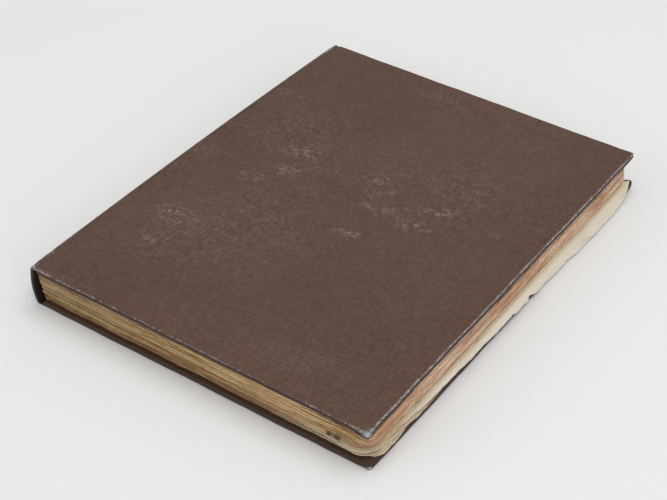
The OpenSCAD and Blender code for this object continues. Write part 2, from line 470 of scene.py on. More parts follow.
CLOTH = bookcloth()
LEAF = leaf_paper()
ENDPAPER = plain_paper("endpaper", (196, 173, 132), (183, 157, 114), (120, 84, 48))
KRAFT = plain_paper("kraft_lining", (132, 100, 64), (108, 80, 50), (70, 48, 30))
LOOSE = plain_paper("loose_paper", (250, 248, 242), (228, 223, 206), (202, 184, 150), 2.6)
CLIPPING = plain_paper("clipping", (228, 220, 194), (212, 200, 166), (150, 122, 84), 0.4)
PRINT = print_paper()
LINEN = woven("linen_tape", (206, 194, 164), (120, 98, 66), 0.8)
GAUZE = woven("mull_gauze", (196, 182, 148), (104, 78, 48), 1.6)

# ---- covers

EDGE_LINES = (0.12, 0.3, 0.55, 0.85, 1.3, 1.9, 3.0, 5.0, 8.0)
JOINT_LINES = (0.5, 1.2, 2.0, 2.8, 3.6, 4.4, 4.8, 5.1, 5.5, 6.2, 7.5)
OUTER_ROUND = 0.7
INNER_ROUND = 0.6
WALL_ROWS = (0.15, 0.4, 0.65, 0.88)
GROOVE_X, GROOVE_WIDTH, GROOVE_DEPTH = 4.3, 1.3, 0.5

# Rubbed patches on the front cover: (x, y, half length, half width, turn, strength)
SCUFFS = [
    (73, 228, 17, 11, 20, 0.75), (60, 178, 15, 9, 25, 0.8), (77, 200, 16, 9, 30, 0.7),
    (107, 190, 12, 5, 15, 0.5), (43, 106, 19, 11, 5, 0.85), (51, 75, 16, 8, 15, 0.5),
    (11, 183, 13, 8, 10, 0.55), (3, 156, 14, 6, 0, 0.5), (12, 290, 16, 7, 0, 0.4),
    (141, 231, 14, 9, 25, 0.95), (149, 214, 9, 6, 10, 0.8), (151, 200, 8, 5, 0, 0.7),
    (170, 203, 24, 7, 25, 0.7), (193, 198, 16, 8, 15, 1.0), (204, 224, 20, 7, 30, 0.75),
    (162, 163, 15, 5, 10, 0.8), (120, 357, 24, 8, 0, 0.35), (210, 31, 40, 14, 20, 0.14),
    (246, 219, 15, 1.2, 60, 1.0), (163, 227, 16, 1.0, 35, 0.9), (105, 82, 16, 1.0, 42, 0.8),
    (95, 120, 110, 60, 30, 0.24), (190, 250, 80, 60, 0, 0.2), (60, 240, 70, 60, 0, 0.22),
]


def patches(x, y, spots):
    """How rubbed the cloth is at x, y: soft-edged ellipses added together."""
    total = np.zeros_like(x)
    for cx, cy, a, b, turn, strength in spots:
        c, s = math.cos(math.radians(turn)), math.sin(math.radians(turn))
        u = ((x - cx) * c + (y - cy) * s) / a
        v = (-(x - cx) * s + (y - cy) * c) / b
        total = total + strength * bump(np.hypot(u, v), 1.25)
    return total


def round_corner(x, y, end_y, radius):
    """Bends a lattice's square corner at the fore-edge to a quarter circle."""
    sy = 1 if end_y > 0 else -1
    qx = x - (WIDTH - radius)
    qy = (y - (end_y - sy * radius)) * sy
    inside = (qx > 0) & (qy > 0)
    share = np.where(inside, np.maximum(qx, qy) / (np.hypot(qx, qy) + 1e-9), 1.0)
    new_x = np.where(inside, WIDTH - radius + qx * share, x)
    return new_x, np.where(inside, end_y + sy * (qy * share - radius), y)


def cover_outline(x, y, seed, corner):
    """Plan of a cover: worn round corners and edges that aren't quite straight."""
    for end_y in (0, HEIGHT):
        x, y = round_corner(x, y, end_y, corner)
    uneven = ripple(seed, (140, 0.12), (47, 0.1), (19, 0.06))
    x = x + uneven(y) * bump(WIDTH - x, 12)
    y = y + uneven(x + 500) * (bump(y, 12) - bump(HEIGHT - y, 12))
    return x, y


def cover_points(x, y, t, seed, corner, warp):
    """Points of a cover in album x, y and the height above its inner face."""
    e = from_edge(x, y)
    px, py = cover_outline(x, y, seed, corner)
    dent = ripple(seed + 3, (61, 0.05), (23, 0.04), (11, 0.025))
    inner_rise = rounding(e, INNER_ROUND)
    groove = GROOVE_DEPTH * np.exp(-((x - GROOVE_X) / GROOVE_WIDTH) ** 2)
    across = ripple(seed + 7, (90, 0.05), (37, 0.03))
    along = ripple(seed + 8, (110, 0.05), (43, 0.03))
    outer = SHELL - rounding(e, OUTER_ROUND) - groove + across(px) + along(py)
    outer = outer + dent(px + py) * bump(e, 3)
    joint = np.clip((BOARD_X + 0.3 - x) / 0.8, 0, 1)
    inner = inner_rise + (SHELL - CLOTH_T - 0.1 - groove - inner_rise) * joint
    u = inner + (outer - inner) * t
    return px, py, u + warp(px, py)


def cover_wear(x, y, t, sides, corners):
    """Wear on the cover: along its outer arris and at its corners."""
    def line(d, reach):
        return np.clip(1 - np.clip(d - 0.5, 0, None) / reach, 0, 1)

    outside = t > 0.97
    wear = outside * np.maximum.reduce([
        sides[0] * line(WIDTH - x, 1.6), sides[1] * line(y, 0.9), sides[2] * line(HEIGHT - y, 0.9),
    ])
    places = ((WIDTH, 0), (WIDTH, HEIGHT), (0, 0), (0, HEIGHT))
    for (cx, cy), (reach, strength) in zip(places, corners):
        away = np.hypot(x - cx, y - cy)
        arris = line(np.minimum(np.abs(x - cx), np.abs(y - cy)), 2.6)
        beside = 0.8 * strength * arris * bump(away, 4 * reach) * outside
        wear = np.maximum.reduce([wear, strength * bump(away, reach) * (t > 0.3), beside])
    return wear


def cover(name, seed, corner, warp, to_z, sides, corners, scuffs):
    """One cover's board in its cloth: a slab with rounded edges and a thin joint."""
    xs = stops(0.9, WIDTH, 6.0, JOINT_LINES, EDGE_LINES)
    ys = stops(0, HEIGHT, 6.0, EDGE_LINES, EDGE_LINES)

    def shape(x, y, t):
        px, py, u = cover_points(x, y, t, seed, corner, warp)
        return np.stack([px, py, to_z(u)], 1)

    points, faces, (x, y, t) = lattice(xs, ys, shape, WALL_ROWS)
    e = from_edge(x, y)
    outside = t > 0.9
    return make(name, points, faces, CLOTH, {
        "wear": cover_wear(x, y, t, sides, corners), "scuff": patches(x, y, scuffs) * outside,
        "rub": bump(e, 14) * outside, "shade": 0.5 * (e < 0.05) * (t < 0.95) + 0.3 * (t < 0.05),
    })


def front_warp(x, y):
    """The front board arches along the spine, its near outer corner is bent down, its far
    outer corner is raised a little, and it sinks to the spine at both ends."""
    arch = mid_arch(y) * np.exp(-x / 90)
    near = 1.3 * bump(np.hypot(x - WIDTH, y), 16)
    far = 0.5 * bump(np.hypot(x - WIDTH, y - HEIGHT), 14)
    ends = 0.7 * (bump(np.hypot(x, y), 6) + bump(np.hypot(x, HEIGHT - y), 6))
    return arch - near + far - ends


def back_warp(x, y):
    """Height towards the table: the back cover's two outer corners are bent up."""
    far = np.hypot(x - WIDTH, y - HEIGHT)
    near = np.hypot(x - WIDTH, y)
    return -3.0 * bump(far, 12) - 0.5 * bump(near, 9) - 0.2


front = cover(
    "front_cover_shell", 11, 1.7, front_warp, lambda u: THICK - SHELL + u,
    (0.8, 0.5, 0.42), ((10, 1.1), (5, 0.8), (11, 1.05), (5, 0.8)), SCUFFS,
)
place(front, "front_cover", "bookcloth", "front_board", "front_cover_cloth", "front_joint_cloth")
back = cover(
    "back_cover_shell", 23, 2.2, back_warp, lambda u: SHELL - u,
    (0.35, 0.3, 0.3), ((5, 1.1), (5, 0.9), (4, 0.7), (4, 0.7)), [],
)
place(back, "back_cover", "bookcloth", "back_board", "back_cover_cloth")

# ---- spine

BULGE = 2.7
SPINE_ROUND = 0.9


def spine_bow(z):
    """How far the spine stands out behind the straight line between its long edges."""
    return BULGE * np.sin(math.pi * np.clip(z / THICK, 0, 1) ** 0.85)


def spine_shell():
    """The spine's board in its cloth: a flat strip with rounded long edges and ends."""
    low, high = album_box("spine_cloth")
    xs = (0.15, 0.4, 0.9, 1.6, 2.4, 3.1, 3.5, 3.75)
    ys = stops(0, HEIGHT, 7.0, EDGE_LINES, EDGE_LINES)
    rows = np.linspace(0, 1, 15)[1:-1]
    bow = ripple(31, (210, 0.12), (83, 0.08))
    middle = (xs[0] + xs[-1]) / 2

    def shape(x, y, t):
        pinch = rounding(from_end(y), SPINE_ROUND)
        side = np.minimum(x - xs[0], xs[-1] - x)
        round_off = 0.7 * np.clip(1 - side / 0.9, 0, 1) ** 2
        z = low[2] + round_off + (high[2] - low[2] - 2 * round_off) * t
        px = middle + (x - middle) * (1 - pinch / 2.4) + bow(y) * 0.5
        return np.stack([px - spine_bow(z), y, z + mid_arch(y) * t], 1)

    points, faces, (x, y, t) = lattice(xs, ys, shape, rows)
    end = from_end(y)
    wear = 0.5 * np.exp(-(end / 0.9) ** 2) * (x < 1.2)
    wear = np.maximum(wear, 0.95 * bump(np.hypot(end, (1 - t) * 31), 5) * (x < 2))
    wear = np.maximum(wear, 0.8 * bump(np.hypot(end, t * 31), 4) * (x < 2))
    inside = np.clip(x - 2.6, 0, 1)
    return make("spine_shell", points, faces, CLOTH, {
        "wear": wear * 0.8, "scuff": 0.25 * (x < 0.5), "shade": 0.85 * inside + 0.6 * (end < 0.6),
    })


place(spine_shell(), "spine", "bookcloth", "spine_board", "spine_cloth")


def spine_lining():
    low, high = album_box("spine_lining")
    xs = (SPINE_T - 0.12, SPINE_T + 0.1)
    ys = stops(low[1], high[1], 8.0)
    rows = np.linspace(0, 1, 7)[1:-1]

    def shape(x, y, t):
        z = low[2] + (high[2] - low[2]) * t + 0 * x
        return np.stack([x - spine_bow(z), y, z], 1)

    points, faces, _ = lattice(xs, ys, shape, rows)
    return make("spine_lining_paper", points, faces, KRAFT, {"shade": 0.6})


place(spine_lining(), "spine", "spine_paper", "spine_lining")

# ---- cloth over the joints

STRIP_T = 0.34
ROUND = 0.9
UP = THICK - STRIP_T / 2
DOWN = STRIP_T / 2 + 0.05
CORNER = ROUND + STRIP_T / 2


def joint_strip(name, path, bodies, start, end, rub, ridge_z, arched):
    """Cloth that bends across one joint, with the spine's arch where it is arched. It is
    rubbed along a ridge at ridge_z and at both ends."""
    points, faces = ribbon(path, STRIP_T, 0.25, HEIGHT - 0.25, 8.0)
    points[:, 0] -= spine_bow(points[:, 2])
    to_end = from_end(points[:, 1])
    points[:, 0] += 0.5 * bump(to_end, 2.5) * (points[:, 0] < 1)
    if arched:
        points[:, 2] += mid_arch(points[:, 1]) - 0.6 * bump(to_end, 4)
    ridge = rub * np.exp(-((points[:, 2] - ridge_z) / 0.9) ** 2)
    wear = np.maximum(ridge, 0.95 * bump(to_end, 9))
    piece = make(name, points, faces, CLOTH, {"scuff": 0.1, "shade": 0.12, "wear": wear})
    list(bodies)
    metres(*start)
    metres(*end)
    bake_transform(piece)
    return piece


back_path = [(9, DOWN), (6, DOWN), (3, DOWN), (1.6, DOWN)]
back_path += arc(CORNER, CORNER, ROUND, 270, 180, 8)
back_path += [(STRIP_T / 2, 1.6), (STRIP_T / 2, 3.2)]
back_joint = joint_strip(
    "back_joint_strip", back_path, ("back_cover", "spine"), (1.1, 0), (0, 1.1),
    0.42, 0.4, False,
)
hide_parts("back_joint_cloth")

corner_arc = arc(CORNER, THICK - CORNER, ROUND, 180, 90, 10)
FRONT_STRIPS = [
    ("front_joint_strip_1",
     [(STRIP_T / 2, THICK - 3.4), (STRIP_T / 2, THICK - 1.8)] + corner_arc[:4],
     ("spine", "upper_leaves"), (0, THICK - 1.0), (0.1, THICK - 0.5)),
    ("front_joint_strip_2", corner_arc[3:7],
     ("upper_leaves", "top_leaves"), (0.2, THICK - 0.5), (0.45, THICK - 0.25)),
    ("front_joint_strip_3", corner_arc[6:] + [(1.6, UP), (2.6, UP - 0.1)],
     ("top_leaves", "front_cover"), (0.45, THICK - 0.3), (1.1, UP)),
]
for name, path, bodies, start, end in FRONT_STRIPS:
    joint_strip(name, path, bodies, start, end, 0.74, THICK - 0.25, True)

# ---- paper across the gutter

GUARD_T = 0.22


def gutter_strip(name, path, bodies, start, end, material, slot_name):
    """A paper guard that bends between two groups of leaves, set in from the block's ends."""
    low, high = SQUARE + 3, HEIGHT - SQUARE - 3
    points, faces = ribbon(path, GUARD_T, low, high, 8.0)
    piece = make(name, points, faces, material, {"shade": 0.25})
    metres(*start)
    metres(*end)
    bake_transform(piece)
    return piece


LOWER_TOP = album_box("lower_section_2")[1][2]
UPPER_BASE = album_box("upper_section_1")[0][2]
UPPER_TOP = album_box("upper_section_7")[1][2]
TOP_BASE = album_box("top_section_1")[0][2]
FLY_TOP = album_box("front_flyleaf")[1][2]

gutter_strip(
    "front_endpaper_hinge",
    [(4.6, FLY_TOP), (4.75, 29.2), (4.9, 30.2), (5.3, 30.6), (5.8, 30.2), (6.0, 29.2), (6.2, 28.1)],
    ("top_leaves", "front_cover"), (4.5, 29), (5.9, 29), ENDPAPER, "endpaper",
)
gutter_strip(
    "top_gutter_guard",
    [(5.6, UPPER_TOP + 0.1), (4.7, UPPER_TOP + 0.12), (4.3, (UPPER_TOP + TOP_BASE) / 2),
     (4.7, TOP_BASE - 0.12), (5.6, TOP_BASE - 0.1)],
    ("upper_leaves", "top_leaves"), (4.5, UPPER_TOP + 0.12), (4.5, TOP_BASE - 0.12),
    ENDPAPER, "guard_paper",
)
GUARD_HEIGHTS = (5.0, 6.5, 8.0, 11.0, 15.0, 19.0, 22.5)
SPINE_INSIDE = 4.1
for index, z in enumerate(GUARD_HEIGHTS):
    low_down = z < UPPER_BASE
    wall = SPINE_INSIDE - spine_bow(z)
    path = [(wall, z + 0.4), (wall + 0.4, z + 0.1), ((wall + 5.3) / 2, z), (5.3, z)]
    places = (wall + 0.2, z), (5.2, z)
    gutter_strip(
        f"hollow_guard_{index + 1}", path,
        ("back_cover", "spine") if low_down else ("spine", "upper_leaves"),
        *(places[::-1] if low_down else places), KRAFT, "guard_paper",
    )

# ---- endpapers

def endpaper(node, body, warp, shade, trim):
    """A flyleaf or pastedown: a thin sheet with slightly uneven edges, trimmed back at
    its near end and fore-edge."""
    low, high = album_box(node)
    low[1] += trim
    high[0] -= trim
    edge = (0.5, 1.5, 4.0)
    xs = stops(low[0], high[0], 9.0, edge, edge)
    ys = stops(low[1], high[1], 9.0, edge, edge)
    uneven = ripple(len(node), (120, 0.2), (31, 0.15), (9, 0.08))

    def shape(x, y, t):
        fore = bump(high[0] - x, 10)
        ends = bump(y - low[1], 10) - bump(high[1] - y, 10)
        px = x + (uneven(y) - 0.2) * fore
        pz = low[2] + (high[2] - low[2]) * t + warp(x, y)
        return np.stack([px, y + uneven(x + 300) * ends, pz], 1)

    points, faces, _ = lattice(xs, ys, shape)
    x, y, _ = points.T
    outer = np.minimum.reduce([y - low[1], high[1] - y, high[0] - x])
    piece = make(node + "_paper", points, faces, ENDPAPER, {"shade": shade * bump(outer, 14)})
    return place(piece, body, "endpaper", node)


def flat(x, y):
    return 0 * (x + y)


endpaper("back_pastedown", "back_cover", flat, 0.5, 7)
endpaper("back_flyleaf", "back_cover", flat, 0.8, 8)
endpaper("front_flyleaf", "top_leaves", flat, 0.5, 0.5)
endpaper("front_pastedown", "front_cover", front_warp, 0.5, 1)

# ---- leaves

# The worn leaves stand out further than trimmed ones, and have slipped to the near end
SWOLLEN = 3.0
SLIPPED = 2.2


def straight(start, finish, count, outward):
    """Points of a straight side of a leaf's plan, and the direction they face."""
    start, finish = np.array(start, float), np.array(finish, float)
    shares = np.arange(count)[:, None] / count
    return start + (finish - start) * shares, np.tile(np.array(outward, float), (count, 1))


def quarter(centre, radius, first):
    """Points of a quarter circle of a leaf's plan, and the directions they face."""
    turns = np.radians(np.linspace(first, first + 90, 12, endpoint=False))
    outward = np.stack([np.cos(turns), np.sin(turns)], 1)
    return np.array(centre) + radius * outward, outward


def block_outline(near_radius, far_radius):
    """The leaves' plan, from the spine's near end round the fore-edge and back: points
    and outward directions. There are as many points whatever the radii."""
    low_x, high_x = BLOCK_X, LEAF_X + SWOLLEN
    low_y, high_y = SQUARE - SLIPPED, LEAF_END - SLIPPED - 1
    near_x, near_y = high_x - near_radius, low_y + near_radius
    far_x, far_y = high_x - far_radius, high_y - far_radius
    points, outward = zip(
        straight((low_x, low_y), (near_x, low_y), 150, (0, -1)),
        quarter((near_x, near_y), near_radius, -90),
        straight((high_x, near_y), (high_x, far_y), 190, (1, 0)),
        quarter((far_x, far_y), far_radius, 0),
        straight((far_x, high_y), (low_x, high_y), 100, (0, 1)),
        straight((low_x, high_y), (low_x, low_y), 32, (0, 0)),
    )
    return np.concatenate(points), np.concatenate(outward)


# A leaf's rings of points, as shares of the way in from its rim to its middle
RINGS = (0.36, 0.12, 0.035, 0.008, 0.0)
FLAT_DEPTH = 60

# One leaf's rim: its number in the stack, its places, and how much of it is near end and
# fore-edge, 0 to 1
Rim = namedtuple("Rim", "leaf x y near fore")


class Stack:
    """A group of leaves that move together: they share one height, and the slack between
    them opens at some places and closes at others, so that no leaf cuts into the next.
    Each slot opens more: the leaf above it, its place along the rim, its reach and size."""

    def __init__(self, low, high, leaf_t, count, seed, radii, slots, setback, warm, pale, stain_and_shade):
        self.low, self.high, self.leaf_t, self.count = low, high, leaf_t, count
        self.seed, self.radii, self.setback = seed, radii, setback
        self.warm, self.pale, self.stain_and_shade = warm, pale, stain_and_shade
        self.outline, self.outward = block_outline(10, 8)
        steps = np.linalg.norm(np.diff(self.outline, axis=0, append=self.outline[:1]), axis=1)
        self.s = np.concatenate([[0], np.cumsum(steps)[:-1]])
        lines = [ripple(seed + k, (260, 0.7), (90, 0.6), (37, 0.4)) for k in range(count + 1)]
        self.gaps = np.array([np.exp(1.1 * line(self.s)) for line in lines])
        for after, centre, reach, size in slots:
            self.gaps[after] += size * bump(np.abs(self.s - centre), reach)
        self.gaps /= self.gaps.sum(axis=0)

    def height(self, k, depth):
        """Underside of leaf k all round, at a depth in from the plan's outline."""
        slack = self.high - self.low - self.count * self.leaf_t
        inside = bump(FLAT_DEPTH - np.clip(depth, 0, FLAT_DEPTH), FLAT_DEPTH)
        even = (k + 1) / (self.count + 1)
        share = self.gaps[: k + 1].sum(axis=0) * (1 - inside) + even * inside
        return self.low + k * self.leaf_t + slack * share

    def leaf(self, k):
        """Points, faces and marks of leaf k, counted from the lowest."""
        outline, _ = block_outline(*self.radii(k))
        fore, far = np.clip(self.outward, 0, 1).T
        near = np.clip(-self.outward[:, 1], 0, 1)
        at = Rim(k, outline[:, 0], outline[:, 1], near, fore)
        rng = np.random.default_rng(self.seed * 100 + k)
        wander = ripple(self.seed * 100 + k, (170, 0.3), (50, 0.2), (13, 0.1), (5, 0.06))
        inset = 0.25 + rng.uniform(-0.2, 0.8) * fore + rng.uniform(-0.1, 0.9) * near
        inset = inset + wander(self.s) + self.setback(at)
        inset = np.clip(inset, -2.5, 30) * (near + fore + far > 0)
        rim = outline - self.outward * inset[:, None]
        rise = (self.low + k * (self.high - self.low) / self.count) / THICK
        rim[[0, -32], 0] += 1.0 - 4.0 * rise
        middle = np.array([(BLOCK_X + LEAF_X) / 2, HEIGHT / 2])
        size = len(rim)
        points, edge = [], []
        order = [(f, 0) for f in RINGS] + [(f, 1) for f in reversed(RINGS)]
        for f, upper in order:
            ring = middle + (rim - middle) * (1 - f)
            depth = inset + f * np.linalg.norm(rim - middle, axis=1)
            z = self.height(k, depth) + upper * self.leaf_t
            z = z - 1.2 * bump(np.hypot(ring[:, 0] - WIDTH, ring[:, 1]), 24) * (z / THICK) ** 2
            points.append(np.column_stack([ring, z]))
            edge.append(np.full(size, 1.0 if f == 0 else 0.45 if f < 0.01 else 0.0))
        rows = len(order)
        points.append([[*middle, points[0][0, 2]], [*middle, points[-1][0, 2]]])
        edge.append([0.0, 0.0])
        faces = walls([range(r * size, (r + 1) * size) for r in range(rows)])
        for n in range(size):
            m = (n + 1) % size
            faces.append((rows * size, n, m))
            faces.append((rows * size + 1, (rows - 1) * size + m, (rows - 1) * size + n))
        tone = 0.5 + 0.28 * rng.standard_normal() + 0.2 * wander(self.s * 0.7 + 90) / 0.3
        # Painted shade: leaves set in further than their neighbours are darker at the rim, and the
        # group's own darkening adds painted shade and grime.
        shade = 0.8 * bump(5 - np.clip(inset, 0, 5), 5) + self.stain_and_shade(at)
        marks = {
            "tone": np.clip(tone, 0, 1), "shade": np.clip(shade, 0, 1),
            "warm": self.warm(at), "pale": self.pale(at),
        }
        marks = {key: np.concatenate([np.tile(v, rows), [0, 0]]) for key, v in marks.items()}
        marks["edge"] = np.concatenate(edge)
        return np.concatenate(points), faces, marks


NEAR_TEAR = torn(71, 2.6, 3.4, 1.6)
FORE_TEAR = torn(72, 7.0, 2.0, 2.5)
CORNER_TEAR = torn(73, 5.0, 3.2, 1.4)

# How much each lower leaf has lost at its near end, and how far its near corner stands out
LOWER_LOST = (1.8, 0.6, 2.2, 0.0, 1.2, 0.3, 1.8, 0.0, 0.8, 0.2)
LOWER_FANNED = (2.9, 1.2, 2.6, 2.2, 0.2, 1.8, 1.9, -0.6, 1.2, 0.4)

# Two notches in the near end: their x and half width, and the upper leaves they cut
NOTCHES = [(252.5, 2.4), (258.5, 2.8)]
NOTCHED_LEAVES = (5, 6, 7)

# Upper leaves that lie further in than their neighbours, and lowest ones that stand out
UPPER_SUNK = {5: 1.6, 9: 3.4, 10: 3.0, 17: 1.6, 24: 1.2, 30: 0.8}
UPPER_OUT = (2.0, -0.8, 1.8, -0.4, 1.0)


def near_corner(at, reach):
    """1 at the leaves' near outer corner, falling to 0 at reach from it."""
    return bump(np.hypot(at.x - LEAF_X, at.y - SQUARE), reach)


def notched(at, widen):
    """1 in the middle of each notch."""
    return at.near * sum(bump(np.abs(at.x - x), half * widen) for x, half in NOTCHES)


def lower_setback(at):
    """The lowest leaves are ragged along the near end, and stick out there and along
    the fore-edge next to the near corner."""
    k, x, y, near, fore = at
    torn_off = LOWER_LOST[k] + NEAR_TEAR(x + 57 * k) * (k % 2 == 0)
    tear = torn_off * np.clip((x - 6) / 10, 0, 1) * near
    spread = np.clip(near_corner(at, 90) + 0.9 * fore * bump(y - 70, 90), 0, 1)
    tatters = CORNER_TEAR(y + x + 31 * k) * bump(np.abs(y - 40), 75) * (near + fore)
    tatters = tatters * (k not in (0, 3, 5))
    return tear + (FORE_TEAR(y + 43 * k) * 0.7 - LOWER_FANNED[k] * spread) * fore + tatters


def upper_setback(at):
    """Some leaves lie further in than their neighbours, the notches are cut, and the
    lowest leaves stand out at the near corner and are torn."""
    k, x, y, near, fore = at
    sunk = near * (0.7 + 0.3 * np.sin(x / 29 + k)) + 0.35 * fore * (0.5 + 0.5 * np.sin(y / 37 + k))
    back = UPPER_SUNK.get(k, 0.0) * sunk + 7.0 * notched(at, 1) * (k in NOTCHED_LEAVES)
    if k < len(UPPER_OUT):
        back = back - UPPER_OUT[k] * near_corner(at, 60)
        back = back + 0.5 * FORE_TEAR(y + 29 * k) * fore * bump(y - 20, 110)
    return back


def top_setback(at):
    return 0.3 * at.fore + 0.3 * at.near * (at.leaf % 2)


def spine_end_grime_and_shade(at):
    """Painted shade and grime along the near end, darkest by the spine."""
    return 0.35 * at.near * bump(at.x - BLOCK_X, 150)


def upper_grime_and_shade(at):
    """Painted shade and grime along the near end, and black inside the two notches."""
    black = 2.0 * notched(at, 1.2) * (at.leaf + 1 in NOTCHED_LEAVES)
    return 0.5 * spine_end_grime_and_shade(at) * (1 + at.leaf / 35) + black


def lower_pale(at):
    return 0.85 * np.clip(near_corner(at, 90) + 0.8 * at.fore, 0, 1)


def upper_pale(at):
    low_down = bump(at.leaf, 9) * np.maximum(at.fore, near_corner(at, 90))
    return np.clip(0.8 * low_down + 0.45 * (at.leaf in (12, 19, 25, 31)), 0, 1)


def top_pale(at):
    return np.full_like(at.x, 0.5 * (at.leaf in (2, 6)))


LOWER = Stack(
    LOWER_BASE, LOWER_TOP, 0.3, 10, 101, lambda k: (15, 9),
    [(3, 250, 90, 9), (5, 310, 60, 9), (2, 360, 60, 7), (7, 270, 50, 7), (4, 420, 90, 6)],
    lower_setback, lambda at: 0.1 * at.fore, lower_pale, lambda at: 0.08 * at.near * (at.leaf % 3),
)
UPPER = Stack(
    UPPER_BASE, UPPER_TOP, 0.33, 35, 202, lambda k: (14 - 0.27 * k, 9),
    [(4, 230, 100, 14), (5, 260, 30, 16), (9, 60, 120, 14), (9, 170, 80, 8), (16, 90, 100, 6),
     (2, 320, 60, 8), (9, 460, 90, 6)],
    upper_setback, lambda at: np.clip((at.leaf - 2) / 14, 0, 0.95) * at.fore, upper_pale,
    upper_grime_and_shade,
)
TOP = Stack(
    TOP_BASE, album_box("top_section_2")[1][2], 0.3, 8, 303, lambda k: (4.5 - 0.2 * k, 8),
    [(3, 200, 80, 2), (5, 480, 90, 2)],
    top_setback, lambda at: 0.95 * at.fore, top_pale, spine_end_grime_and_shade,
)
# Group, its stack, number of sections, leaves in each, body and slot
SECTIONS = [
    ("lower", LOWER, 2, 5, "back_cover", "album_leaf"),
    ("upper", UPPER, 7, 5, "upper_leaves", "album_leaf"),
    ("top", TOP, 2, 4, "top_leaves", "top_leaf"),
]
for group, stack, sections, leaves, body, slot_name in SECTIONS:
    for n in range(sections):
        points, faces, marks = join([stack.leaf(n * leaves + k) for k in range(leaves)])
        section = make(f"{group}_leaves_{n + 1}", points, faces, LEAF, marks)
        place(section, body, slot_name, f"{group}_section_{n + 1}")

# ---- sewing and guards

TUCKED = 4


def welded(node):
    """A CAD node's mesh, with the points that share a place made one."""
    work = bmesh.new()
    work.from_mesh(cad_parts[node].data)
    bmesh.ops.remove_doubles(work, verts=work.verts, dist=1e-6)
    return work


def leaned_copy(node, body, material, slot_name, marks=None):
    """The CAD node's own shape, leaning with the album and tucked inside its leaves."""
    work = welded(node)
    points = (np.array([v.co for v in work.verts]) - ORIGIN) / MM
    points[:, 1] = np.clip(points[:, 1], SQUARE, LEAF_END - SLIPPED - TUCKED)
    faces = [tuple(v.index for v in face.verts) for face in work.faces]
    work.free()
    return place(make(node + "_leaning", points, faces, material, marks), body, slot_name, node)


for group, _, _, _, body, _ in SECTIONS:
    leaned_copy(group + "_guards", body, KRAFT, "guard_paper", {"shade": 0.3})
    leaned_copy(group + "_tapes", body, LINEN, "linen_tape")
    leaned_copy(group + "_sewing", body, LINEN, "linen_thread")
    leaned_copy(group + "_mull", body, GAUZE, "mull")

# ---- scraps on the leaves

def slips(node):
    """Boxes of the separate slips in a CAD node, in album millimetres."""
    work = welded(node)
    waiting, boxes = set(work.verts), []
    while waiting:
        grow, group = [waiting.pop()], []
        while grow:
            vert = grow.pop()
            group.append(vert.co)
            linked = {edge.other_vert(vert) for edge in vert.link_edges} & waiting
            waiting -= linked
            grow += linked
        places = (np.array(group) - ORIGIN) / MM
        boxes.append((places.min(axis=0), places.max(axis=0)))
    work.free()
    return sorted(boxes, key=lambda found: tuple(np.round(found[0], 2)))


def scraps(node, body, border):
    """The slips in a CAD node as prints with that border, or as ragged clippings without:
    each has uneven edges and a tone of its own."""
    material, slot_name = (PRINT, "print") if border else (CLIPPING, "clipping")
    parts = []
    for n, (low, high) in enumerate(slips(node)):
        seed = len(node) * 50 + n
        rng = np.random.default_rng(seed)
        edge = (border, border + 0.25) if border else (0.6, 2.0)
        xs = stops(low[0], high[0], 5.0, edge, edge)
        ys = stops(low[1], high[1], 5.0, edge, edge)
        ragged = 0 if border else 1
        uneven = ripple(seed, (60, 0.3), (17, 0.2 * ragged), (5, 0.12 * ragged))
        skew = rng.uniform(-0.012, 0.012)
        middle = (low + high) / 2

        def shape(x, y, t):
            side = bump(x - low[0], 3) - bump(high[0] - x, 3)
            ends = bump(y - low[1], 3) - bump(high[1] - y, 3)
            px = x + uneven(y) * side - skew * (y - middle[1])
            py = y + uneven(x + 77) * ends + skew * (x - middle[0])
            return np.stack([px, py, low[2] + (high[2] - low[2]) * t + 0 * x], 1)

        points, faces, (x, y, _) = lattice(xs, ys, shape)
        inward = np.minimum.reduce([x - low[0], high[0] - x, y - low[1], high[1] - y])
        parts.append((points, faces, {
            "border": np.clip((border + 0.2 - inward) / 0.2, 0, 1),
            "shade": np.full(len(points), rng.uniform(0, 0.55)),
        }))
    points, faces, marks = join(parts)
    return place(make(node + "_pasted", points, faces, material, marks), body, slot_name, node)


PRINT_BORDER = 3.5
scraps("lower_clippings", "back_cover", 0)
scraps("facing_prints", "upper_leaves", PRINT_BORDER)
scraps("upper_clippings", "upper_leaves", 0)
scraps("top_prints", "top_leaves", PRINT_BORDER)

# ---- loose sheet

sheet_low, sheet_high = album_box("loose_sheet")
SHEET_BASE = (LOWER_TOP + UPPER_BASE) / 2
LIP_START = 277.0

# The lip's free edge: y, x, z
LIP_Y, LIP_X, LIP_Z = zip(
    (35, 281, 9.2), (42, 283.8, 9.2), (52, 285, 8.6), (62, 285.6, 8.0), (90, 286, 6.8),
    (118, 286, 5.3), (150, 285.7, 4.7), (178, 286.2, 4.5), (186, 286.9, 3.8), (206, 287, 3.0),
    (212, 287.4, 2.2), (228, 286.4, 1.7), (262, 286.6, 1.6), (269, 287.6, 1.5), (277, 289.1, 1.3),
    (316, 288.9, 1.3), (338, 288.9, 1.3), (354, 287.8, 1.6), (363, 286, 4.2), (371, 283, 8.6),
)

# How much of the lip is torn away: y, share
CUT_Y, CUT_SHARE = zip(
    (178, 0), (182, 0.1), (186, 0), (204, 0), (207, 0.2), (219, 0), (262, 0), (266, 0.32),
    (294, 0.16), (304, 0),
)
SHEET_EDGE = ripple(91, (83, 0.25), (29, 0.2), (11, 0.15), (4, 0.08))
SHEET_T = 0.3
LIP_LENGTH = 13.0


